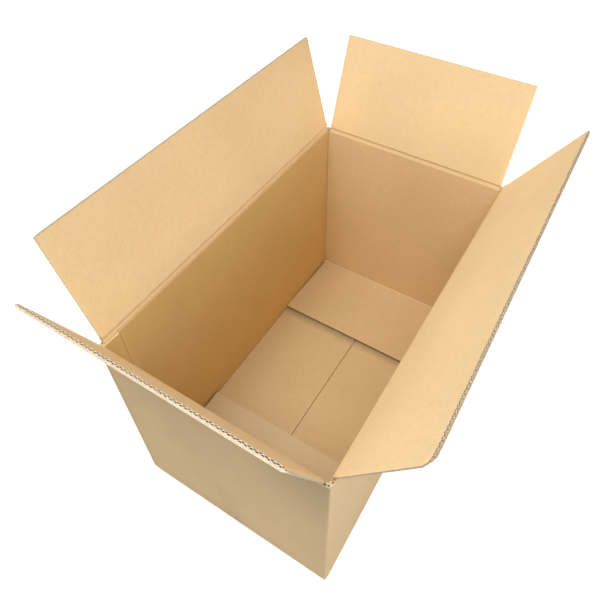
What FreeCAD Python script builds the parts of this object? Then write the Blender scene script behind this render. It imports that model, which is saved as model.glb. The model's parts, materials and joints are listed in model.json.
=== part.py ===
import FreeCAD, Part
import Sketcher
import os

# Open cardboard box: one folded sheet of double-wall board with a taped bottom,
# and four top flaps that hinge on its creases.
# Millimetres. +Z is up. The origin is the centre of the bottom's outer face.
# X runs across the box, from the left long side to the right one.
# Y runs along the box, from the front short side to the back one.

SIZES = {
    # inside of the box, the depth up to the creases of the short sides
    "inner_width": 455.0,
    "inner_length": 775.0,
    "inner_depth": 486.0,
    # the board, and what folding it leaves
    "board": 6.6,
    "layer_gap": 0.3,
    "hinge_gap": 0.2,
    "fold_radius": 4.0,
    # flaps, and the slots that part them
    "flap_length": 227.0,
    "slot_width": 17.0,
    "bottom_flap": 229.5,
    "seam_gap": 2.0,
    # how far each top flap stands up from level, in degrees
    "left_angle": 75.4,
    "right_angle": 58.2,
    "front_angle": 68.4,
    "back_angle": 70.0,
    # flutes of the thick layer, open at the free edge of each top flap
    "flute_pitch": 7.85,
    "flute_rise": 3.3,
    "flute_wall": 0.6,
    "liner": 0.35,
    "crushed_band": 15.0,
    # glued joint inside the front left corner
    "tab_width": 38.0,
    "tab_slope": 3.0,
    "tab_clearance": 1.0,
    "raw_end_step": 1.2,
    # clear tape along the bottom seam and up both short sides
    "tape_width": 48.0,
    "tape_thickness": 0.1,
    "tape_rise": 180.0,
}

# Places that follow from the sizes, as formulas of the sheet
IN_X = "sizes.inner_width / 2"
IN_Y = "sizes.inner_length / 2"
OUT_X = "(sizes.inner_width / 2 + sizes.board)"
OUT_Y = "(sizes.inner_length / 2 + sizes.board)"
SHORT_FOLD = "(sizes.board + sizes.layer_gap)"
FLOOR = f"({SHORT_FOLD} + sizes.board)"
SHORT_CREASE = f"({FLOOR} + sizes.inner_depth)"
LONG_CREASE = f"({SHORT_CREASE} + sizes.board + sizes.layer_gap)"
SLOT_END = f"({SHORT_CREASE} - sizes.board - sizes.hinge_gap)"
TAB_TOP = f"({SLOT_END} - sizes.tab_clearance)"
TAB_FOOT = f"({FLOOR} + sizes.tab_clearance)"
SHORT_FLAP_WIDTH = "(sizes.inner_width + sizes.board - sizes.slot_width)"
LONG_FLAP_WIDTH = "(sizes.inner_length + sizes.board - sizes.slot_width)"
SQUARE_CUT = "(2 - sqrt(2))"  # where a 45 degree tangent leaves a round corner of radius 1

doc = FreeCAD.newDocument("open_box")


# Helpers for the sheet, sketches and features

def make_sheet():
    """Give each driving size a row: its name, and its number under that alias."""
    sheet = doc.addObject("Spreadsheet::Sheet", "sizes")
    for row, (name, value) in enumerate(SIZES.items(), start=1):
        sheet.set(f"A{row}", name)
        sheet.set(f"B{row}", str(value))
        sheet.setAlias(f"B{row}", name)
    doc.recompute()
    return sheet


def number(formula):
    """The present value of a formula of the sheet."""
    return float(sheet.evalExpression(formula.replace("sizes.", "")))


def origin_item(body, role):
    return [item for item in body.Origin.OriginFeatures if item.Role == role][0]


def add_outline(sketch, corners):
    """Draw a closed outline and tie each corner to its pair of formulas."""
    first = sketch.GeometryCount
    count = len(corners)
    points = [FreeCAD.Vector(number(across), number(along), 0) for across, along in corners]
    for index in range(count):
        sketch.addGeometry(Part.LineSegment(points[index], points[(index + 1) % count]))
    for index in range(count):
        following = first + (index + 1) % count
        sketch.addConstraint(Sketcher.Constraint("Coincident", first + index, 2, following, 1))
    for index, (across, along) in enumerate(corners):
        for kind, formula in (("DistanceX", across), ("DistanceY", along)):
            tie = Sketcher.Constraint(kind, -1, 1, first + index, 1, number(formula))
            place = sketch.addConstraint(tie)
            sketch.setExpression(f"Constraints[{place}]", formula)


def make_sketch(body, name, plane, outlines, offset="0"):
    """Sketch closed outlines on an origin plane, or at a distance from it."""
    sketch = body.newObject("Sketcher::SketchObject", name)
    sketch.AttachmentSupport = [(origin_item(body, plane), "")]
    sketch.MapMode = "FlatFace"
    sketch.setExpression("AttachmentOffset.Base.z", offset)
    for corners in outlines:
        add_outline(sketch, corners)
    doc.recompute()
    return sketch


def add_feature(body, kind, sketch, length, side):
    feature = body.newObject(f"PartDesign::{kind}", f"{sketch.Name}_{kind.lower()}")
    feature.Profile = sketch
    feature.SideType = side
    feature.setExpression("Length", length)
    doc.recompute()
    return feature


def pad(body, sketch, length, side="Symmetric"):
    return add_feature(body, "Pad", sketch, length, side)


def pocket(body, sketch, length, side="Symmetric"):
    """Cut a sketch out of the body, and make sure that it did cut."""
    before = body.Shape.Volume
    feature = add_feature(body, "Pocket", sketch, length, side)
    if not feature.Shape.Volume < before:
        raise RuntimeError(f"{feature.Name} cuts nothing")
    return feature


def round_edges(body, name, wanted, radius):
    """Round the edges of the body that pass a test."""
    base = body.Tip
    edges = base.Shape.Edges
    names = [f"Edge{place}" for place, edge in enumerate(edges, start=1) if wanted(edge)]
    feature = body.newObject("PartDesign::Fillet", name)
    feature.Base = (base, names)
    feature.setExpression("Radius", radius)
    doc.recompute()
    return feature


def make_body(name):
    body = doc.addObject("PartDesign::Body", name)
    body.Label = name
    return body


def mirrored(corners):
    """The same outline on the other side of the middle."""
    return [(f"-({across})", along) for across, along in corners]


# The folded sheet

def rectangle(across, along):
    return [
        (f"-{across}", f"-{along}"),
        (across, f"-{along}"),
        (across, along),
        (f"-{across}", along),
    ]


def add_walls(body):
    """Four walls up to the slots, then each side with its crease and bottom flap."""
    ring = make_sketch(
        body,
        "wall_ring",
        "XY_Plane",
        [rectangle(OUT_X, OUT_Y), rectangle(f"({IN_X})", f"({IN_Y})")],
        SHORT_FOLD,
    )
    pad(body, ring, f"{SLOT_END} - {SHORT_FOLD}", "One side")

    long_side = [
        (f"-{OUT_X}", "0"),
        ("-sizes.seam_gap / 2", "0"),
        ("-sizes.seam_gap / 2", "sizes.board"),
        (f"-{IN_X}", "sizes.board"),
        (f"-{IN_X}", f"{LONG_CREASE} - sizes.board - sizes.hinge_gap"),
        (f"-{OUT_X}", f"{LONG_CREASE} - sizes.hinge_gap"),
    ]
    long_sides = make_sketch(body, "long_sides", "XZ_Plane", [long_side, mirrored(long_side)])
    pad(body, long_sides, LONG_FLAP_WIDTH)

    short_side = [
        (f"-{OUT_Y}", SHORT_FOLD),
        (f"sizes.bottom_flap - {OUT_Y}", SHORT_FOLD),
        (f"sizes.bottom_flap - {OUT_Y}", FLOOR),
        (f"-{IN_Y}", FLOOR),
        (f"-{IN_Y}", SLOT_END),
        (f"-{OUT_Y}", f"{SHORT_CREASE} - sizes.hinge_gap"),
    ]
    short_sides = make_sketch(body, "short_sides", "YZ_Plane", [short_side, mirrored(short_side)])
    pad(body, short_sides, SHORT_FLAP_WIDTH)


def add_glue_tab(body):
    """The tab that turns in from the front side and is glued to the left one."""
    tab_end = f"sizes.tab_width - {IN_Y}"
    tab = [
        (f"-{IN_Y}", TAB_FOOT),
        (tab_end, f"{TAB_FOOT} + sizes.tab_slope"),
        (tab_end, f"{TAB_TOP} - sizes.tab_slope"),
        (f"-{IN_Y}", TAB_TOP),
    ]
    sketch = make_sketch(body, "glue_tab", "YZ_Plane", [tab], f"-{IN_X}")
    pad(body, sketch, "sizes.board", "One side")


def cut_joint(body):
    """The left side's raw end stops short beside the front side's round fold."""
    past = f"-({OUT_Y} + sizes.board)"
    joint = [
        (f"-({OUT_X} + sizes.board)", past),
        (f"sizes.fold_radius - {IN_X}", past),
        (f"sizes.fold_radius - {IN_X}", f"-{OUT_Y}"),
        (f"sizes.fold_radius * {SQUARE_CUT} / 2 - {IN_X}", f"sizes.fold_radius * {SQUARE_CUT} / 2 - {OUT_Y}"),
        (f"-{IN_X}", f"sizes.fold_radius - {OUT_Y}"),
        (f"-{IN_X}", f"sizes.raw_end_step - {OUT_Y}"),
        (f"-({OUT_X} + sizes.board)", f"sizes.raw_end_step - {OUT_Y}"),
    ]
    sketch = make_sketch(body, "joint_groove", "XY_Plane", [joint])
    pocket(body, sketch, f"2 * {LONG_CREASE}")


def cut_tape_seat(body):
    """The tape lies pressed into the outer flaps, level with their face."""
    seat = rectangle("(sizes.tape_width / 2)", OUT_Y)
    sketch = make_sketch(body, "tape_seat", "XY_Plane", [seat])
    pocket(body, sketch, "2 * sizes.tape_thickness")


def is_near(value, formula):
    return abs(abs(value) - number(formula)) < 0.01


def on_folded_corner(edge):
    """An upright outer edge at a corner, but not at the glued front left one."""
    box = edge.BoundBox
    upright = box.ZLength > number("sizes.inner_depth / 2")
    outer = is_near(box.XMin, OUT_X) and is_near(box.YMin, OUT_Y)
    return upright and outer and (box.XMin > 0 or box.YMin > 0)


def on_bottom_fold(edge):
    """A level outer edge under a long side, or under a short one."""
    box = edge.BoundBox
    long_fold = is_near(box.XMin, OUT_X) and is_near(box.XMax, OUT_X) and box.ZMax < 0.01
    short_fold = is_near(box.YMin, OUT_Y) and is_near(box.YMax, OUT_Y) and is_near(box.ZMax, SHORT_FOLD)
    return (long_fold or short_fold) and box.ZLength < 0.01


def make_box_body():
    body = make_body("box_body")
    add_walls(body)
    add_glue_tab(body)
    round_edges(body, "bottom_folds", on_bottom_fold, "sizes.fold_radius")
    round_edges(body, "corner_folds", on_folded_corner, "sizes.fold_radius")
    cut_joint(body)
    cut_tape_seat(body)
    return body


# The tape

def make_tape():
    """One strip: up the front side, along the seam and up the back side."""
    body = make_body("bottom_tape")
    lead = f"({OUT_Y} - sizes.fold_radius * {SQUARE_CUT})"
    turn = f"({SHORT_FOLD} + sizes.fold_radius * {SQUARE_CUT})"
    edge = f"({LONG_FLAP_WIDTH} / 2)"
    inner = [
        (edge, "sizes.tape_thickness"),
        (lead, SHORT_FOLD),
        (OUT_Y, turn),
        (OUT_Y, "sizes.tape_rise"),
    ]
    outer = [
        (f"{OUT_Y} + sizes.tape_thickness", "sizes.tape_rise"),
        (f"{OUT_Y} + sizes.tape_thickness", f"{turn} - sizes.tape_thickness / 2"),
        (f"{lead} + sizes.tape_thickness / 2", f"{SHORT_FOLD} - sizes.tape_thickness"),
        (edge, "0"),
    ]
    back = inner + outer
    strip = back + mirrored(back)[::-1]
    pad(body, make_sketch(body, "tape_strip", "YZ_Plane", [strip]), "sizes.tape_width")
    return body


# The top flaps

def make_flap(name, side, width, crease):
    """A flap drawn upright on its crease, then leant outwards by its angle.

    side is X or Y, the way from the middle of the box to the crease, with its sign.
    """
    body = make_body(name)
    along_x = side in ("-X", "+X")
    inward = "" if side[0] == "-" else "-"

    profile = [
        ("0", "sizes.hinge_gap"),
        (f"{inward}sizes.board", "sizes.board + sizes.hinge_gap"),
        (f"{inward}sizes.board", "sizes.flap_length"),
        ("0", "sizes.flap_length"),
    ]
    plane = "XZ_Plane" if along_x else "YZ_Plane"
    pad(body, make_sketch(body, f"{name}_profile", plane, [profile]), width)
    cut_flutes(body, name, width, along_x, inward)

    outer_place = f"{side[0]}{OUT_X if along_x else OUT_Y}"
    body.setExpression("Placement.Base.x" if along_x else "Placement.Base.y", outer_place)
    body.setExpression("Placement.Base.z", crease)
    turn_axis = FreeCAD.Vector(0, 1, 0) if along_x else FreeCAD.Vector(1, 0, 0)
    body.Placement.Rotation = FreeCAD.Rotation(turn_axis, 1)
    turn_sign = "" if side in ("+X", "-Y") else "-"
    angle = f"sizes.{name.split('_')[0]}_angle"
    body.setExpression("Placement.Rotation.Angle", f"{turn_sign}(90 - {angle})")
    return body


def cut_flutes(body, name, width, along_x, inward):
    """Two rows of channels, one each side of the wave, from the free edge down."""
    pitches = f"(floor({width} / sizes.flute_pitch) - 1)"
    start = f"-({pitches} + 0.5) * sizes.flute_pitch / 2"
    inner_face = f"{inward}(sizes.board - sizes.liner)"
    middle_face = f"{inward}(sizes.board - sizes.liner - sizes.flute_rise)"
    inner_tip = f"{inward}(sizes.board - sizes.liner - sizes.flute_wall / 2)"
    middle_tip = f"{inward}(sizes.board - sizes.liner - sizes.flute_rise + sizes.flute_wall / 2)"

    def at(depth, pitch_count, shift=""):
        place = f"{start} + {pitch_count} * sizes.flute_pitch {shift}"
        return (depth, place) if along_x else (place, depth)

    inner_channel = [
        at(inner_face, 0, "+ sizes.flute_wall / 2"),
        at(inner_face, 1, "- sizes.flute_wall / 2"),
        at(middle_tip, 0.5),
    ]
    middle_channel = [
        at(middle_face, 0.5, "+ sizes.flute_wall / 2"),
        at(middle_face, 1.5, "- sizes.flute_wall / 2"),
        at(inner_tip, 1),
    ]
    outlines = [inner_channel, middle_channel]
    sketch = make_sketch(body, f"{name}_channels", "XY_Plane", outlines, "sizes.flap_length")
    channels = pocket(body, sketch, "sizes.flap_length - sizes.crushed_band", "One side")

    row = body.newObject("PartDesign::LinearPattern", f"{name}_flutes")
    row.Originals = [channels]
    row.Direction = (origin_item(body, "Y_Axis" if along_x else "X_Axis"), [""])
    row.Mode = "Spacing"
    row.setExpression("Offset", "sizes.flute_pitch")
    row.setExpression("Occurrences", pitches)
    body.Tip = row
    doc.recompute()


# Making, checking and writing

def check_all(parts):
    for item in doc.Objects:
        if "Invalid" in item.State or "Error" in item.State:
            raise RuntimeError(f"{item.Name} did not recompute")
    for item in parts:
        shape = item.Shape
        if shape.isNull() or not shape.isValid():
            raise RuntimeError(f"{item.Label} has no valid shape")
        if len(shape.Solids) != 1:
            raise RuntimeError(f"{item.Label} has {len(shape.Solids)} solids")


sheet = make_sheet()
parts = [
    make_box_body(),
    make_tape(),
    make_flap("left_flap", "-X", LONG_FLAP_WIDTH, LONG_CREASE),
    make_flap("right_flap", "+X", LONG_FLAP_WIDTH, LONG_CREASE),
    make_flap("front_flap", "-Y", SHORT_FLAP_WIDTH, SHORT_CREASE),
    make_flap("back_flap", "+Y", SHORT_FLAP_WIDTH, SHORT_CREASE),
]
doc.recompute()
check_all(parts)

os.makedirs("parts", exist_ok=True)
for part in parts:
    part.Shape.exportStep(f"parts/{part.Label}.step")
    box = part.Shape.BoundBox
    print(part.Label, f"volume {part.Shape.Volume:.0f} faces {len(part.Shape.Faces)}", box)
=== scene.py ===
import bpy
import bmesh
import json
import math
from mathutils import Euler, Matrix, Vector


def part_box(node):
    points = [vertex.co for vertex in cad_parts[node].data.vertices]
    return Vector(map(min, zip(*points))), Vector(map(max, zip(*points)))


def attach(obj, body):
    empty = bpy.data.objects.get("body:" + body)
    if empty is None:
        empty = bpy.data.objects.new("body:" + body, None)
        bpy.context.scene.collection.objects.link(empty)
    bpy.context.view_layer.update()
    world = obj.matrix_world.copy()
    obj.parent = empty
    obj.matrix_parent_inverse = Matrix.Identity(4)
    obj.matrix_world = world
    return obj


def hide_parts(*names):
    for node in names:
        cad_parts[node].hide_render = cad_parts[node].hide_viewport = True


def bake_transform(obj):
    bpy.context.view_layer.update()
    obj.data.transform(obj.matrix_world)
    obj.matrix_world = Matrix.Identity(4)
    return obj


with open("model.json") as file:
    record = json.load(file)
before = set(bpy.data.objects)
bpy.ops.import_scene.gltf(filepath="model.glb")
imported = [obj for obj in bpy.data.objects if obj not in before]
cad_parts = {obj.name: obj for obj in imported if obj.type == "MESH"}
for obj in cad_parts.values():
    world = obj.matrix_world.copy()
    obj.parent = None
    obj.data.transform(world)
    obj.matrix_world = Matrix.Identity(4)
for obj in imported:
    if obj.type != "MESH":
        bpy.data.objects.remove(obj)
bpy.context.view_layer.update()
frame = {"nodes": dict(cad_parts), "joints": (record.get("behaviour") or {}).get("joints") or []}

# Sizes in metres, as in the part
BOARD = 0.0066
FLAP_LENGTH = 0.227
LAYER_GAP = 0.0003
FLUTE_PITCH = 0.00785
FINE_PITCH = 0.0062
LINER = 0.00045
FINE_RISE = 0.0022
MIDDLE_LINER = 0.0003
PAPER_INSET = 0.0002
MIDDLE_INSET = 0.0003
OPEN_DEPTH = 0.016
CRUSHED_SIDE = 0.0055
FOOT_GAP = 0.0003

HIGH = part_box("box_body")[1]
OUT_X, OUT_Y = HIGH[0], HIGH[1]
IN_X, IN_Y = OUT_X - BOARD, OUT_Y - BOARD
FLOOR = 2 * BOARD + LAYER_GAP
JOINTS = {joint["name"]: joint for joint in frame["joints"]}
BOTTOM_FLAP = 0.2295
FREE_EDGE = OUT_Y - BOTTOM_FLAP
PANEL_FACING = 0.7

# Painted shade along the box's inner corners and scored folds, with a painted lighter band beside each line:
# width, and the tone in the line
UPRIGHT_SHADE_LINE = (0.0013, 0.56)
SHORT_FLOOR_SHADE_LINE = (0.0017, 0.60)
LONG_FLOOR_SHADE_LINE = (0.0016, 0.50)
TAB_SHADE_LINE = (0.0032, 0.70)
TAB_SHADE_LINE_REACH = 0.038
PAINTED_LIGHT_BESIDE_LINE = 1.07

# The inner bottom flaps at the near end (-1) and the far end (1): how far the free edge has
# sprung up, how much shorter the flap is than in the part, and half its width
SPRING = {-1: 0.009, 1: 0.004}
SHORTER = {-1: 0.004, 1: 0.0}
FREE_HALF = {-1: 0.2223, 1: 0.2264}

# The glue tab, pressed nearly flat against the left wall
TAB_INSIDE = -IN_X + BOARD
PRESSED_TAB = -IN_X + 0.0024
TAB_REACH = 0.04
TAB_TOP = 0.4972
TAB_END_FOOT = 0.484
TAB_END_WIDTH = 0.0377
TAB_END_THICK = 0.00235
TAB_END_SLOPE = 0.003

# The corner posts' tops
POST_FOOT = 0.4927
POST_TOP = 0.4990
POST_RADIUS = 0.004
POST_GAP = 0.0003
POST_FLUTE_DEPTH = BOARD - 0.0022
HOLE_ABOVE_POST = 0.0001

# The photograph's camera
IMAGE = 600
SENSOR = 36.0
FOCAL_PIXELS = 560.3
CENTRE_PIXEL = (317.1, 256.6)
CAMERA_PLACE = (0.3734, -0.6706, 1.3127)
CAMERA_AZIMUTH = 30.84
CAMERA_ELEVATION = 46.64
CAMERA_ROLL = 0.47

# Colours, linear
KRAFT = (0.80, 0.59, 0.328)
# Partly the medium's own brown, partly painted shade that darkens the inner bottom flaps' free edges
MEDIUM_BROWN_AND_SHADE = (0.34, 0.22, 0.115)
CUT_EDGE = (0.68, 0.565, 0.415)
WORN_BROWN = (0.60, 0.49, 0.345)
# Painted shade for the deepest faces of the crease grooves
SCORED_SHADE_BROWN = (0.50, 0.345, 0.175)
# Painted shade: dark discs for the open flutes on the posts' tops
HOLE_SHADE_BROWN = (0.085, 0.055, 0.03)
TAPE_COLOUR = (0.86, 0.76, 0.58, 1.0)

# Painted light and shade of the inside, multiplied with the kraft colour
NO_TINT = (1.0, 1.0, 1.0)
LONG_WALL_PAINTED_SHADE = (0.98, 0.93, 0.72)
BOTTOM_PAINTED_SHADE = (0.90, 0.885, 0.86)
# The near flap's greyer tint is painted bounce light
NEAR_FLAP_PAINTED_BOUNCE = (0.92, 0.99, 1.10)

# Material slots of the boards
FACE, MEDIUM_AND_SHADE, EDGE, WORN = range(4)
BODY_HOLE_SHADE, BODY_WORN = 3, 4


# Node helpers

class Nodes:
    """Short calls for building one material's node tree."""

    def __init__(self, name):
        self.material = bpy.data.materials.new(name)
        self.material.use_nodes = True
        self.tree = self.material.node_tree
        self.tree.nodes.clear()

    def add(self, kind, **settings):
        node = self.tree.nodes.new(kind)
        for key, value in settings.items():
            setattr(node, key, value)
        return node

    def link(self, source, target):
        self.tree.links.new(source, target)

    def math(self, operation, first, second=None):
        node = self.add("ShaderNodeMath", operation=operation)
        for socket, value in zip(node.inputs, (first, second)):
            if value is None:
                continue
            if hasattr(value, "is_linked"):
                self.link(value, socket)
            else:
                socket.default_value = value
        return node.outputs[0]

    def noise(self, vector, scale, detail=3.0, roughness=0.5):
        node = self.add("ShaderNodeTexNoise")
        self.link(vector, node.inputs["Vector"])
        node.inputs["Scale"].default_value = scale
        node.inputs["Detail"].default_value = detail
        node.inputs["Roughness"].default_value = roughness
        return node.outputs["Fac"]

    def stretch(self, vector, scale, turn=(0, 0, 0)):
        node = self.add("ShaderNodeMapping")
        self.link(vector, node.inputs["Vector"])
        node.inputs["Scale"].default_value = scale
        node.inputs["Rotation"].default_value = turn
        return node.outputs["Vector"]

    def remap(self, value, low, high, out_low, out_high):
        node = self.add("ShaderNodeMapRange")
        self.link(value, node.inputs["Value"])
        node.inputs["From Min"].default_value = low
        node.inputs["From Max"].default_value = high
        node.inputs["To Min"].default_value = out_low
        node.inputs["To Max"].default_value = out_high
        return node.outputs["Result"]

    def split(self, vector):
        node = self.add("ShaderNodeSeparateXYZ")
        self.link(vector, node.inputs[0])
        return node.outputs

    def facing(self):
        return self.split(self.add("ShaderNodeNewGeometry").outputs["Normal"])

    def apart(self, value, target):
        return self.math("ABSOLUTE", self.math("SUBTRACT", value, target))

    def tint_where(self, mask, tint, strength=None):
        """White outside the mask, and inside it the tint, scaled where a strength is given."""
        mix = self.add("ShaderNodeMix", data_type="VECTOR")
        self.link(mask, mix.inputs["Factor"])
        first, second = mix.inputs[4], mix.inputs[5]
        first.default_value = NO_TINT
        if strength is None:
            second.default_value = tint
        else:
            self.link(self.scale_colour(tint, strength), second)
        return mix.outputs[1]

    def scale_colour(self, colour, value):
        node = self.add("ShaderNodeVectorMath", operation="SCALE")
        if hasattr(colour, "is_linked"):
            self.link(colour, node.inputs[0])
        else:
            node.inputs[0].default_value = colour
        self.link(value, node.inputs["Scale"])
        return node.outputs[0]

    def finish_surface(self, colour, height, distance, roughness, specular=0.25):
        shader = self.add("ShaderNodeBsdfPrincipled")
        self.link(colour, shader.inputs["Base Color"])
        shader.inputs["Specular IOR Level"].default_value = specular
        if hasattr(roughness, "is_linked"):
            self.link(roughness, shader.inputs["Roughness"])
        else:
            shader.inputs["Roughness"].default_value = roughness
        bump = self.add("ShaderNodeBump")
        bump.inputs["Distance"].default_value = distance
        self.link(height, bump.inputs["Height"])
        self.link(bump.outputs["Normal"], shader.inputs["Normal"])
        output = self.add("ShaderNodeOutputMaterial")
        self.link(shader.outputs[0], output.inputs["Surface"])
        return self.material


def flute_coordinate(nodes, place, flutes_across):
    """The coordinate that runs across the flutes: one axis, or by panel on the body."""
    position = nodes.split(place)
    if flutes_across in ("X", "Y"):
        return position[flutes_across]
    facing = nodes.facing()
    on_long_side = nodes.math("GREATER_THAN", nodes.math("ABSOLUTE", facing["X"]), PANEL_FACING)
    on_bottom = nodes.math("GREATER_THAN", nodes.math("ABSOLUTE", facing["Z"]), PANEL_FACING)
    between_flaps = nodes.math("LESS_THAN", nodes.math("ABSOLUTE", position["Y"]), FREE_EDGE)
    on_long_flap = nodes.math("MULTIPLY", on_bottom, between_flaps)
    along_y = nodes.math("MAXIMUM", on_long_side, on_long_flap)
    along_x = nodes.math("SUBTRACT", 1.0, along_y)
    first = nodes.math("MULTIPLY", position["Y"], along_y)
    second = nodes.math("MULTIPLY", position["X"], along_x)
    return nodes.math("ADD", first, second)


def paint_corner_shade(nodes, place, tone):
    """Painted shade: darkens the inner corners, where the board is scored and folded, with a painted lighter
    band beside each line.
    """
    position = nodes.split(place)
    off_x = nodes.apart(nodes.math("ABSOLUTE", position["X"]), IN_X)
    off_y = nodes.apart(nodes.math("ABSOLUTE", position["Y"]), IN_Y)
    off_floor = nodes.apart(position["Z"], FLOOR)
    off_low = nodes.apart(position["Z"], BOARD)
    off_left = nodes.apart(position["X"], -IN_X)
    off_tab = nodes.apart(position["Y"], TAB_SHADE_LINE_REACH - IN_Y)
    lines = [
        (off_x, off_y, UPRIGHT_SHADE_LINE),
        (off_y, off_floor, SHORT_FLOOR_SHADE_LINE),
        (off_x, off_low, LONG_FLOOR_SHADE_LINE),
        (off_left, off_tab, TAB_SHADE_LINE),
    ]
    for first, second, (width, depth) in lines:
        gap = nodes.math("MAXIMUM", first, second)
        # Painted shade in the line, then a painted lighter band beside it
        tone = nodes.math("MULTIPLY", tone, nodes.remap(gap, width * 0.45, width, depth, 1.0))
        tone = nodes.math("MULTIPLY", tone, nodes.remap(gap, width, width * 4, PAINTED_LIGHT_BESIDE_LINE, 1.0))
    return tone


def paint_inner_light_and_shade(nodes, place):
    """Kraft tinted by place, as painted light and shade: long walls warmer and darker towards the top, bottom
    duller, near flap greyer as painted bounce light, and two soft painted shades, under the far flap's edge
    and under the front flap.
    """
    position = nodes.split(place)
    facing = nodes.facing()
    reach_x = nodes.math("ABSOLUTE", position["X"])
    sideways = nodes.math("GREATER_THAN", nodes.math("ABSOLUTE", facing["X"]), PANEL_FACING)
    upward = nodes.math("GREATER_THAN", facing["Z"], PANEL_FACING)
    frontward = nodes.math("LESS_THAN", facing["Y"], -PANEL_FACING)
    on_wall = nodes.math("MULTIPLY", sideways, nodes.math("LESS_THAN", reach_x, IN_X + 0.001))
    on_bottom = nodes.math("MULTIPLY", upward, nodes.math("LESS_THAN", position["Z"], 0.05))
    on_near = nodes.math("MULTIPLY", on_bottom, nodes.math("LESS_THAN", position["Y"], -FREE_EDGE))
    on_rest = nodes.math("SUBTRACT", on_bottom, on_near)
    on_outer = nodes.math("MULTIPLY", on_bottom, nodes.math("LESS_THAN", position["Z"], BOARD + 0.0005))
    on_front = nodes.math("MULTIPLY", frontward, nodes.math("LESS_THAN", position["Y"], -IN_Y - 0.003))

    # Painted shade: the long walls inside darker towards the top
    painted_shade_by_height = nodes.remap(position["Z"], 0.12, 0.46, 0.99, 0.84)
    # Painted shadow on the outer bottom flaps, under the far inner flap's free edge
    painted_shadow_under_far_flap = nodes.remap(position["Y"], FREE_EDGE - 0.022, FREE_EDGE, 1.0, 0.72)
    # Painted shade on the front wall's outside, darker towards its top right, under the front flap's overhang
    to_right = nodes.remap(position["X"], 0.08, 0.22, 0.0, 1.0)
    to_top = nodes.remap(position["Z"], 0.28, 0.49, 0.0, 1.0)
    painted_shade_under_front_flap = nodes.remap(nodes.math("MULTIPLY", to_right, to_top), 0.0, 1.0, 1.0, 0.76)

    painted_light_and_shade = [
        nodes.tint_where(on_wall, LONG_WALL_PAINTED_SHADE, painted_shade_by_height),
        nodes.tint_where(on_rest, BOTTOM_PAINTED_SHADE),
        nodes.tint_where(on_near, NEAR_FLAP_PAINTED_BOUNCE),
        nodes.tint_where(on_outer, NO_TINT, painted_shadow_under_far_flap),
        nodes.tint_where(on_front, NO_TINT, painted_shade_under_front_flap),
    ]
    colour = painted_light_and_shade[0]
    for factor in painted_light_and_shade[1:] + [KRAFT]:
        product = nodes.add("ShaderNodeVectorMath", operation="MULTIPLY")
        nodes.link(colour, product.inputs[0])
        if factor is KRAFT:
            product.inputs[1].default_value = KRAFT
        else:
            nodes.link(factor, product.inputs[1])
        colour = product.outputs[0]
    return colour


def kraft_material(name, flutes_across, washboard=1.0):
    """Brown liner: cloudy pulp, scattered fibres, and flutes that show through."""
    nodes = Nodes(name)
    place = nodes.add("ShaderNodeTexCoord").outputs["Object"]
    broad = nodes.noise(place, 7.0, 2.0)
    cloud = nodes.noise(place, 95.0, 6.0, 0.65)
    grain = nodes.noise(place, 900.0, 4.0, 0.7)
    hair_one = nodes.noise(nodes.stretch(place, (900.0, 120.0, 120.0), (0.3, 0.5, 0.4)), 1.0, 3.0)
    hair_two = nodes.noise(nodes.stretch(place, (120.0, 900.0, 500.0), (0.7, 0.2, 1.1)), 1.0, 3.0)

    tone = nodes.remap(broad, 0.3, 0.7, 0.975, 1.025)
    tone = nodes.math("MULTIPLY", tone, nodes.remap(cloud, 0.3, 0.7, 0.965, 1.035))
    tone = nodes.math("MULTIPLY", tone, nodes.remap(grain, 0.3, 0.7, 0.97, 1.03))
    tone = nodes.math("MULTIPLY", tone, nodes.remap(hair_one, 0.66, 0.74, 1.0, 1.10))
    tone = nodes.math("MULTIPLY", tone, nodes.remap(hair_two, 0.66, 0.74, 1.0, 0.86))

    across = flute_coordinate(nodes, place, flutes_across)
    angle = nodes.math("MULTIPLY", across, 2 * math.pi / FLUTE_PITCH)
    wander = nodes.math("MULTIPLY", nodes.noise(place, 9.0, 1.0), 1.3)
    wave = nodes.math("SINE", nodes.math("ADD", angle, wander))
    strength = nodes.remap(nodes.noise(place, 5.0, 2.0), 0.35, 0.7, 0.15, 1.0)
    wave = nodes.math("MULTIPLY", wave, strength)
    swing = 0.014 * washboard
    tone = nodes.math("MULTIPLY", tone, nodes.remap(wave, -1.0, 1.0, 1 - swing, 1 + swing))

    colour = KRAFT
    # On the body: painted shade lines in the corners, and painted light and shade by place
    if flutes_across == "panel":
        tone = paint_corner_shade(nodes, place, tone)
        colour = paint_inner_light_and_shade(nodes, place)

    height = nodes.math("MULTIPLY", wave, 0.055 * washboard)
    height = nodes.math("ADD", height, nodes.math("MULTIPLY", cloud, 0.25))
    height = nodes.math("ADD", height, nodes.math("MULTIPLY", grain, 0.12))
    height = nodes.math("ADD", height, nodes.math("MULTIPLY", hair_one, 0.05))
    roughness = nodes.remap(cloud, 0.3, 0.7, 0.72, 0.86)
    return nodes.finish_surface(nodes.scale_colour(colour, tone), height, 0.0009, roughness)


def cut_material(name, colour, spread):
    """A cut edge, the corrugated paper, or a patch of painted shade: rough, with torn pale and dark fibres.
    """
    nodes = Nodes(name)
    place = nodes.add("ShaderNodeTexCoord").outputs["Object"]
    coarse = nodes.noise(place, 260.0, 3.0, 0.6)
    fine = nodes.noise(place, 1500.0, 4.0, 0.7)
    tone = nodes.remap(coarse, 0.3, 0.7, 1 - spread, 1 + spread)
    tone = nodes.math("MULTIPLY", tone, nodes.remap(fine, 0.3, 0.7, 0.9, 1.1))
    height = nodes.math("ADD", nodes.math("MULTIPLY", coarse, 0.5), nodes.math("MULTIPLY", fine, 0.5))
    return nodes.finish_surface(nodes.scale_colour(colour, tone), height, 0.0004, 0.9, 0.1)


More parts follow.
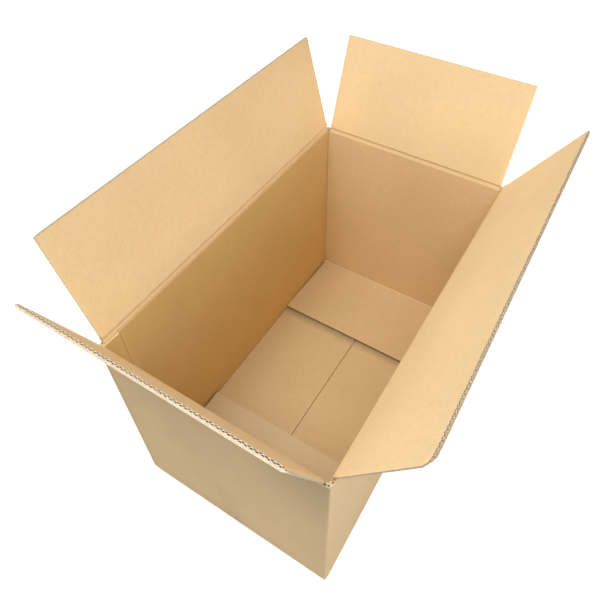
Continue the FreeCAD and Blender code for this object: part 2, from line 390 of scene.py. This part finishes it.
def tape_material(name):
    """Clear glossy tape with fine lengthwise streaks and a few air bubbles."""
    nodes = Nodes(name)
    place = nodes.add("ShaderNodeTexCoord").outputs["Object"]
    streak = nodes.noise(nodes.stretch(place, (900.0, 25.0, 25.0)), 1.0, 3.0)
    bubble = nodes.noise(place, 180.0, 4.0, 0.6)
    shader = nodes.add("ShaderNodeBsdfPrincipled")
    shader.inputs["Base Color"].default_value = TAPE_COLOUR
    shader.inputs["Specular IOR Level"].default_value = 0.5
    nodes.link(nodes.remap(streak, 0.3, 0.7, 0.16, 0.28), shader.inputs["Roughness"])
    nodes.link(nodes.remap(bubble, 0.55, 0.75, 0.04, 0.13), shader.inputs["Alpha"])
    bump = nodes.add("ShaderNodeBump")
    bump.inputs["Distance"].default_value = 0.0002
    nodes.link(nodes.math("ADD", streak, bubble), bump.inputs["Height"])
    nodes.link(bump.outputs["Normal"], shader.inputs["Normal"])
    output = nodes.add("ShaderNodeOutputMaterial")
    nodes.link(shader.outputs[0], output.inputs["Surface"])
    return nodes.material


KRAFT_BODY = kraft_material("kraft_body", "panel", 0.8)
KRAFT_ACROSS_X = kraft_material("kraft_across_x", "X")
KRAFT_ACROSS_Y = kraft_material("kraft_across_y", "Y")
MEDIUM_PAPER_AND_SHADE = cut_material("medium_paper_and_shade", MEDIUM_BROWN_AND_SHADE, 0.18)
EDGE_PAPER = cut_material("edge_paper", CUT_EDGE, 0.12)
WORN_EDGE = cut_material("worn_edge", WORN_BROWN, 0.16)
SCORED_SHADE = cut_material("scored_liner_painted_shade", SCORED_SHADE_BROWN, 0.10)
OPEN_HOLE_SHADE = cut_material("open_hole_painted_shade", HOLE_SHADE_BROWN, 0.20)
TAPE = tape_material("tape_film")


# Panels: w runs along the crease, u from the outer face inwards, v away from the crease

class Panel:
    """Places points of a flap, or of the wall below it."""

    def __init__(self, hinge, inward, run, lean):
        self.hinge = Vector(hinge)
        self.inward = Vector(inward)
        self.run = Vector(run)
        up = Vector((0, 0, 1))
        out = -self.inward
        angle = math.radians(lean)
        self.along = out * math.cos(angle) + up * math.sin(angle)
        self.face = self.inward * math.sin(angle) + up * math.cos(angle)

    def at(self, w, u, v):
        return self.hinge + self.run * w + self.face * u + self.along * v


SIDES = {
    "left": ((1, 0, 0), (0, 1, 0)),
    "right": ((-1, 0, 0), (0, 1, 0)),
    "front": ((0, 1, 0), (1, 0, 0)),
    "back": ((0, -1, 0), (1, 0, 0)),
}


def side_panels(side):
    """The panel of a side's flap, that of its wall, and half the flap's width."""
    joint = JOINTS[f"{side}_crease"]
    inward, run = SIDES[side]
    lean = 180 - joint["range_deg"][1]
    low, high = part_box(f"{side}_flap")
    half = (high[1] - low[1]) / 2 if side in ("left", "right") else (high[0] - low[0]) / 2
    flap = Panel(joint["pos_m"], inward, run, lean)
    wall = Panel(joint["pos_m"], inward, run, 90)
    return flap, wall, half


# Mesh helpers

def new_piece(name, bm, materials):
    mesh = bpy.data.meshes.new(name)
    bmesh.ops.recalc_face_normals(bm, faces=bm.faces[:])
    bm.to_mesh(mesh)
    bm.free()
    for material in materials:
        mesh.materials.append(material)
    piece = bpy.data.objects.new(name, mesh)
    bpy.context.scene.collection.objects.link(piece)
    return piece


def add_slab(bm, place, w_range, u_range, v_range, cuts, material, foot=0.0, edge=None):
    """A thin board between two grids. foot slopes its lower end by that share of u."""
    edge = material if edge is None else edge
    w_cuts, v_cuts = cuts
    rows = []
    for u in u_range:
        v_low = v_range[0] + foot * u
        grid = []
        for i in range(w_cuts + 1):
            w = w_range[0] + (w_range[1] - w_range[0]) * i / w_cuts
            line = []
            for j in range(v_cuts + 1):
                v = v_low + (v_range[1] - v_low) * j / v_cuts
                line.append(bm.verts.new(place(w, u, v)))
            grid.append(line)
        rows.append(grid)
    outer, inner = rows
    faces = []
    rims = []
    for i in range(w_cuts):
        for j in range(v_cuts):
            for grid in rows:
                faces.append((grid[i][j], grid[i + 1][j], grid[i + 1][j + 1], grid[i][j + 1]))
    for i in range(w_cuts):
        for j in (0, v_cuts):
            rims.append((outer[i][j], outer[i + 1][j], inner[i + 1][j], inner[i][j]))
    for j in range(v_cuts):
        for i in (0, w_cuts):
            rims.append((outer[i][j], outer[i][j + 1], inner[i][j + 1], inner[i][j]))
    for corners in faces:
        bm.faces.new(corners).material_index = material
    for corners in rims:
        bm.faces.new(corners).material_index = edge


def add_wave(bm, place, w_range, u_range, v_range, pitch, thick, material):
    """The corrugated paper: one wavy sheet between two liners."""
    steps = 12
    middle = (u_range[0] + u_range[1]) / 2
    rise = (u_range[1] - u_range[0] - thick) / 2
    count = int((w_range[1] - w_range[0]) / pitch * steps)
    previous = None
    for index in range(count + 1):
        w = w_range[0] + pitch * index / steps
        phase = 2 * math.pi * index / steps
        u = middle + rise * math.sin(phase)
        slope = rise * math.cos(phase) * 2 * math.pi / pitch
        half = min(thick / 2 * math.sqrt(1 + slope * slope), thick)
        v_low, v_high = v_range
        corners = [(u - half, v_low), (u + half, v_low), (u + half, v_high), (u - half, v_high)]
        ring = [bm.verts.new(place(w, corner_u, corner_v)) for corner_u, corner_v in corners]
        if previous is None:
            bm.faces.new(ring).material_index = material
        else:
            for side in range(4):
                following = (side + 1) % 4
                quad = (previous[side], previous[following], ring[following], ring[side])
                bm.faces.new(quad).material_index = material
        previous = ring
    bm.faces.new(previous).material_index = material


# Crushed corners of the flaps: side, which end along w, reach, and how much is pressed back

CRUSHED = {
    "front": [(1, 0.012, 0.0012)],
    "right": [(-1, 0.015, 0.0060)],
}


def crushed_place(side, flap, half):
    """Like flap.at, with thin slotted sides and the worn corners of the free edge pressed in."""
    marks = CRUSHED.get(side, [])

    def place(w, u, v):
        from_side = max(0.0, half - abs(w)) / CRUSHED_SIDE
        if from_side < 1:
            share = 0.42 + 0.58 * from_side * from_side * (3 - 2 * from_side)
            u = BOARD / 2 + (u - BOARD / 2) * share + BOARD * 0.10 * (1 - share)
            v = max(v, u + FOOT_GAP)
        for end, reach, depth in marks:
            near_w = max(0.0, 1 - abs(end * half - w) / reach)
            near_v = max(0.0, 1 - (FLAP_LENGTH - v) / reach)
            v -= depth * near_w * near_v
            w -= end * depth * near_w * near_v * 0.8
        return flap.at(w, u, v)

    return place


def add_open_edge(bm, place, half, top, fine_depth=0.0007, thick=0.0008, rim=EDGE, closed=0.0006):
    """The end of the board: a row of open flutes, and a finer row that the cut may have closed."""
    fine_top = LINER + FINE_RISE
    thick_foot = fine_top + MIDDLE_LINER + closed
    inner_face = BOARD - LINER
    start = top - OPEN_DEPTH
    across = (-half, half)
    inside = (-half + PAPER_INSET, half - PAPER_INSET)
    paper_top = top - PAPER_INSET
    fine_thick = thick * 0.6
    cuts = (60, 3)
    add_slab(bm, place, across, (0.0, LINER), (start, top), cuts, FACE, 0.0, rim)
    add_slab(bm, place, across, (inner_face, BOARD), (start, top), cuts, FACE, 0.0, rim)
    add_slab(bm, place, inside, (fine_top, thick_foot), (start, top - MIDDLE_INSET), cuts, rim)
    add_slab(bm, place, inside, (LINER, fine_top), (start, top - fine_depth), cuts, rim)
    add_wave(bm, place, inside, (LINER, fine_top), (top - fine_depth, paper_top), FINE_PITCH, fine_thick, rim)
    add_wave(bm, place, inside, (thick_foot, inner_face), (start, paper_top), FLUTE_PITCH, thick, rim)


def make_flap(side):
    """A solid board up to the open flutes, then the layers of the free edge."""
    flap, _, half = side_panels(side)
    place = crushed_place(side, flap, half)
    start = FLAP_LENGTH - OPEN_DEPTH
    bm = bmesh.new()
    add_slab(bm, place, (-half, half), (0.0, BOARD), (FOOT_GAP, start), (180, 24), FACE, 1.0, WORN)
    if side == "front":
        add_open_edge(bm, place, half, FLAP_LENGTH)
    else:
        add_open_edge(bm, place, half, FLAP_LENGTH, 0.003, 0.0007, WORN, 0.0)
    face = KRAFT_ACROSS_Y if side in ("left", "right") else KRAFT_ACROSS_X
    piece = new_piece(f"{side}_flap_board", bm, [face, MEDIUM_PAPER_AND_SHADE, EDGE_PAPER, WORN_EDGE])
    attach(piece, f"{side}_top")
    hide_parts(f"{side}_flap")


# Scored creases

def add_strip(bm, sections, painted_shade_spans=()):
    """A closed sheet through sections, each a front and a back row of points. The spans named in its last
    argument are painted dark, as the shade in a crease's groove.
    """
    rings = []
    for fronts, backs in sections:
        ring = [bm.verts.new(point) for point in fronts]
        ring += [bm.verts.new(point) for point in reversed(backs)]
        rings.append(ring)
    count = len(rings[0])
    for first, second in zip(rings, rings[1:]):
        for index in range(count):
            following = (index + 1) % count
            face = bm.faces.new((first[index], first[following], second[following], second[index]))
            face.material_index = 1 if index in painted_shade_spans else 0
    for ring in (rings[0], rings[-1]):
        half = count // 2
        for index in range(half - 1):
            bm.faces.new((ring[index], ring[index + 1], ring[count - 2 - index], ring[count - 1 - index]))


SKIN = 0.00012
SKIN_DEPTH = 0.0006

# Section of a scored crease: (panel, u from the inner face, v), from the wall to the flap
CREASE = [
    ("wall", SKIN, -0.0125),
    ("wall", SKIN, -0.0078),
    ("wall", -0.0006, -0.0064),
    ("wall", -0.0016, -0.0030),
    ("wall", -0.0026, -0.0006),
    ("flap", -0.0030, 0.0002),
    ("flap", -0.0026, 0.0008),
    ("flap", -0.0009, 0.0014),
    ("flap", -0.0002, 0.0026),
    ("flap", SKIN, 0.0060),
    ("flap", SKIN, 0.0110),
]
# Faces of each crease section painted dark as the shade in its groove
CREASE_PAINTED_SHADE = {"left": (5, 6, 7), "right": (5, 6, 7), "front": (6,), "back": (6,)}


def make_crease(side):
    """The inner liner where it is crushed and bends, joined to wall and flap; its deepest faces carry the
    painted shade of the groove.
    """
    flap, wall, half = side_panels(side)
    panels = {"flap": flap, "wall": wall}
    bm = bmesh.new()
    sections = []
    steps = 80
    for index in range(steps + 1):
        w = -half + 2 * half * index / steps
        wobble = 0.00015 * math.sin(w * 61.0 + len(side)) + 0.00010 * math.sin(w * 163.0)
        fronts = [panels[panel].at(w, BOARD + u, v + wobble) for panel, u, v in CREASE]
        backs = [panels[panel].at(w, BOARD + u - SKIN_DEPTH, v + wobble) for panel, u, v in CREASE]
        sections.append((fronts, backs))
    add_strip(bm, sections, CREASE_PAINTED_SHADE[side])
    face = KRAFT_ACROSS_Y if side in ("left", "right") else KRAFT_ACROSS_X
    piece = new_piece(f"{side}_crease_inside", bm, [face, SCORED_SHADE])
    start = wall.at(0, BOARD, -BOARD)
    end = flap.at(0, BOARD, BOARD)
    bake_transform(piece)


OUTER_FOLD = [
    ("wall", -0.00003, -0.0060),
    ("wall", -0.00022, -0.0030),
    ("wall", -0.00030, -0.0010),
    ("flap", -0.00030, 0.0010),
    ("flap", -0.00022, 0.0030),
    ("flap", -0.00003, 0.0060),
]


def make_fold(side):
    """The outer liner over the crease, pressed out a little by the score."""
    flap, wall, half = side_panels(side)
    panels = {"flap": flap, "wall": wall}
    bm = bmesh.new()
    sections = []
    steps = 40
    for index in range(steps + 1):
        w = -half + 2 * half * index / steps
        fronts = [panels[panel].at(w, u, v) for panel, u, v in OUTER_FOLD]
        backs = [panels[panel].at(w, u + LINER / 2, v) for panel, u, v in OUTER_FOLD]
        sections.append((fronts, backs))
    add_strip(bm, sections)
    face = KRAFT_ACROSS_Y if side in ("left", "right") else KRAFT_ACROSS_X
    piece = new_piece(f"{side}_crease_outside", bm, [face])
    wall.at(0, 0, -0.003)
    flap.at(0, 0, 0.003)
    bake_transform(piece)


# The body, with its inner bottom flaps sprung up and its glue tab pressed flat

SHORT_HALF = (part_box("front_flap")[1][0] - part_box("front_flap")[0][0]) / 2
LONG_HALF = (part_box("left_flap")[1][1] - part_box("left_flap")[0][1]) / 2


def near(value, target):
    return abs(value - target) < 0.0003


def spring_lift(end, reach):
    """How far an inner bottom flap has risen at this distance from the box's middle."""
    return SPRING[end] * (IN_Y - reach) / (IN_Y - FREE_EDGE)


def bottom_flap_place(end):
    """Places points of the inner bottom flap at one end: v runs from its fold, u upwards."""
    def place(w, u, v):
        return (w, end * (IN_Y - v), BOARD + LAYER_GAP + u + spring_lift(end, IN_Y - v))
    return place


def make_body():
    """The part's own body, reshaped a little, with the open edges of the inner bottom flaps."""
    bm = bmesh.new()
    bm.from_mesh(frame["nodes"]["box_body"].data)
    bmesh.ops.remove_doubles(bm, verts=bm.verts[:], dist=0.000002)
    for vertex in bm.verts:
        x, y, z = vertex.co
        on_free_edge = near(abs(x), SHORT_HALF) and near(abs(y), FREE_EDGE)
        if on_free_edge and BOARD < z < FLOOR + 0.0002:
            end = 1 if y > 0 else -1
            cut_back = FREE_EDGE + SHORTER[end] + OPEN_DEPTH
            vertex.co.x = math.copysign(FREE_HALF[end], x)
            vertex.co.y = end * cut_back
            vertex.co.z = z + spring_lift(end, cut_back)
        if near(x, TAB_INSIDE) and y < -IN_Y + TAB_REACH:
            vertex.co.x = PRESSED_TAB
    for end in (-1, 1):
        place = bottom_flap_place(end)
        length = IN_Y - FREE_EDGE - SHORTER[end]
        # The rims are the dark medium paper: partly its own brown, partly painted shade at the free edges
        add_open_edge(bm, place, FREE_HALF[end], length, 0.004, 0.0006, MEDIUM_AND_SHADE, 0.0)
    add_post_tops(bm)
    add_corner_paper(bm)
    add_tab_end(bm)
    piece = new_piece("box_body_board", bm, [KRAFT_BODY, MEDIUM_PAPER_AND_SHADE, EDGE_PAPER, OPEN_HOLE_SHADE, WORN_EDGE])
    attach(piece, "box")
    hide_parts("box_body")


def add_post_tops(bm):
    """The corner posts rise nearly to the short creases; dark discs of painted shade on top stand for the cut
    flutes at the slots' ends.
    """
    outline = [(SHORT_HALF + POST_GAP, IN_Y), (SHORT_HALF + POST_GAP, OUT_Y)]
    centre_x, centre_y = OUT_X - POST_RADIUS, OUT_Y - POST_RADIUS
    for step in range(7):
        turn = math.radians(90 - 15 * step)
        outline.append((centre_x + POST_RADIUS * math.cos(turn), centre_y + POST_RADIUS * math.sin(turn)))
    outline += [(OUT_X, LONG_HALF + POST_GAP), (IN_X, LONG_HALF + POST_GAP), (IN_X, IN_Y)]
    # Open flutes as dark discs of painted shade: place, then half the width along X and along Y
    shade_spots = [
        (OUT_X - 0.0098, IN_Y + POST_FLUTE_DEPTH, 0.0019, 0.0012),
        (OUT_X - 0.0052, IN_Y + POST_FLUTE_DEPTH - 0.0010, 0.0017, 0.0012),
        (IN_X + POST_FLUTE_DEPTH, OUT_Y - 0.0098, 0.0012, 0.0019),
    ]
    hole_height = POST_TOP + HOLE_ABOVE_POST
    for side_x in (-1, 1):
        for side_y in (-1, 1):
            low = [bm.verts.new((side_x * x, side_y * y, POST_FOOT)) for x, y in outline]
            high = [bm.verts.new((side_x * x, side_y * y, POST_TOP)) for x, y in outline]
            bm.faces.new(high).material_index = BODY_WORN
            bm.faces.new(low).material_index = FACE
            for index in range(len(outline)):
                following = (index + 1) % len(outline)
                bm.faces.new((low[index], low[following], high[following], high[index]))
            for x, y, half_x, half_y in shade_spots:
                ring = []
                for step in range(8):
                    turn = 2 * math.pi * step / 8
                    hole_x = side_x * x + half_x * math.cos(turn)
                    hole_y = side_y * y + half_y * math.sin(turn)
                    ring.append(bm.verts.new((hole_x, hole_y, hole_height)))
                bm.faces.new(ring).material_index = BODY_HOLE_SHADE


def add_tab_end(bm):
    """The glue tab's upper end, which reaches nearly to the crease."""
    def place(w, u, v):
        return (-IN_X + 0.0001 + u, -IN_Y + 0.0002 + w, v - TAB_END_SLOPE * w / TAB_END_WIDTH)
    add_slab(bm, place, (0.0, TAB_END_WIDTH), (0.0, TAB_END_THICK), (TAB_END_FOOT, TAB_TOP), (6, 2), FACE)


def corner_place(side_x, side_y):
    """Places points in one of the bottom's inner corners: w and v across it, u upwards."""
    def place(w, u, v):
        return (side_x * (IN_X - 0.0045 + w), side_y * (IN_Y - 0.0050 + v), 0.0030 + u + 0.1 * w)
    return place


def add_corner_paper(bm):
    """Crumpled liner that closes the bottom's corners."""
    for side_x in (-1, 1):
        for side_y in (-1, 1):
            place = corner_place(side_x, side_y)
            add_slab(bm, place, (-0.0012, 0.0052), (0.0, 0.0008), (-0.0012, 0.0060), (2, 2), FACE)


def dress_node(name, material):
    node = frame["nodes"][name]
    node.data.materials.clear()
    node.data.materials.append(material)


dress_node("bottom_tape", TAPE)
make_body()
for side in SIDES:
    make_flap(side)
    make_crease(side)
    make_fold(side)


# Floor, light and camera

FLOOR_REACH = 12.0
FLOOR_WHITE = (0.80, 0.80, 0.80, 1.0)
SHADOW_GREY = (0.42, 0.42, 0.42, 1.0)
WORLD_LIGHT = 0.03
# The floor's white glow grows from the first distance to the second
GLOW_REACH = (0.8, 2.0)
GLOW_STRENGTH = (0.74, 1.05)

def make_floor():
    """A white floor that the camera sees as white, apart from the box's soft shadow."""
    nodes = Nodes("floor_white")
    diffuse = nodes.add("ShaderNodeBsdfDiffuse")
    diffuse.inputs["Color"].default_value = FLOOR_WHITE
    glow = nodes.add("ShaderNodeEmission")
    place = nodes.add("ShaderNodeTexCoord").outputs["Object"]
    distance = nodes.add("ShaderNodeVectorMath", operation="LENGTH")
    nodes.link(place, distance.inputs[0])
    split = nodes.add("ShaderNodeSeparateXYZ")
    nodes.link(place, split.inputs[0])
    beside = nodes.math("GREATER_THAN", nodes.math("ABSOLUTE", split.outputs["X"]), IN_X)
    ahead = nodes.math("GREATER_THAN", nodes.math("ABSOLUTE", split.outputs["Y"]), IN_Y)
    strength = nodes.remap(distance.outputs["Value"], *GLOW_REACH, *GLOW_STRENGTH)
    around = nodes.math("MAXIMUM", beside, ahead)
    nodes.link(nodes.math("MULTIPLY", strength, around), glow.inputs["Strength"])
    dim = nodes.add("ShaderNodeBsdfDiffuse")
    dim.inputs["Color"].default_value = SHADOW_GREY
    seen = nodes.add("ShaderNodeAddShader")
    nodes.link(glow.outputs[0], seen.inputs[0])
    nodes.link(dim.outputs[0], seen.inputs[1])
    path = nodes.add("ShaderNodeLightPath")
    mix = nodes.add("ShaderNodeMixShader")
    nodes.link(path.outputs["Is Camera Ray"], mix.inputs["Fac"])
    nodes.link(diffuse.outputs[0], mix.inputs[1])
    nodes.link(seen.outputs[0], mix.inputs[2])
    output = nodes.add("ShaderNodeOutputMaterial")
    nodes.link(mix.outputs[0], output.inputs["Surface"])
    bm = bmesh.new()
    signs = ((-1, -1), (1, -1), (1, 1), (-1, 1))
    corners = [bm.verts.new((x * FLOOR_REACH, y * FLOOR_REACH, 0)) for x, y in signs]
    bm.faces.new(corners)
    floor = new_piece("floor", bm, [nodes.material])


def make_world():
    """White where the camera sees it, nearly dark as a light."""
    world = bpy.data.worlds.new("plain_backdrop")
    bpy.context.scene.world = world
    world.use_nodes = True
    tree = world.node_tree
    background = tree.nodes["Background"]
    background.inputs["Color"].default_value = (1.0, 1.0, 1.0, 1.0)
    path = tree.nodes.new("ShaderNodeLightPath")
    strength = tree.nodes.new("ShaderNodeMapRange")
    strength.inputs["To Min"].default_value = WORLD_LIGHT
    strength.inputs["To Max"].default_value = 1.0
    tree.links.new(path.outputs["Is Camera Ray"], strength.inputs["Value"])
    tree.links.new(strength.outputs["Result"], background.inputs["Strength"])


# Soft boxes around the box: name, distance, elevation, azimuth from +X, width, watts
LAMPS = [
    ("right_lamp", 3.0, 30, 0, 1.5, 41.5),
    ("back_lamp", 3.0, 30, 90, 1.5, 14.0),
    ("left_lamp", 3.0, 30, 180, 1.5, 31.0),
    ("front_lamp", 3.0, 30, 270, 1.5, 9.5),
    ("top_left_lamp", 3.0, 68, 225, 1.5, 31.0),
    ("top_front_lamp", 3.0, 68, 270, 1.5, 29.0),
    ("near_lamp", 1.75, 55, 311, 0.5, 7.2),
]
LAMP_AIM = Vector((0, 0, 0.45))


def make_lamp(name, distance, elevation, azimuth, width, power):
    data = bpy.data.lights.new(name, "AREA")
    data.shape = "SQUARE"
    data.size = width
    data.energy = power
    lamp = bpy.data.objects.new(name, data)
    rise, turn = math.radians(elevation), math.radians(azimuth)
    outward = Vector((math.cos(rise) * math.cos(turn), math.cos(rise) * math.sin(turn), math.sin(rise)))
    lamp.location = LAMP_AIM + outward * distance
    lamp.rotation_euler = (-outward).to_track_quat("-Z", "Y").to_euler()
    bpy.context.scene.collection.objects.link(lamp)


def make_camera():
    data = bpy.data.cameras.new("camera")
    data.sensor_width = SENSOR
    data.lens = FOCAL_PIXELS / IMAGE * SENSOR
    data.shift_x = (IMAGE / 2 - CENTRE_PIXEL[0]) / IMAGE
    data.shift_y = (CENTRE_PIXEL[1] - IMAGE / 2) / IMAGE
    camera = bpy.data.objects.new("camera", data)
    camera.location = CAMERA_PLACE
    tilt = Euler((math.radians(90 - CAMERA_ELEVATION), 0, math.radians(CAMERA_AZIMUTH))).to_matrix()
    roll = Euler((0, 0, math.radians(CAMERA_ROLL))).to_matrix()
    camera.rotation_euler = (tilt @ roll).to_euler()
    bpy.context.scene.collection.objects.link(camera)
    bpy.context.scene.camera = camera


make_floor()
make_world()
for lamp_values in LAMPS:
    make_lamp(*lamp_values)
make_camera()
bpy.context.scene.view_settings.view_transform = "Standard"
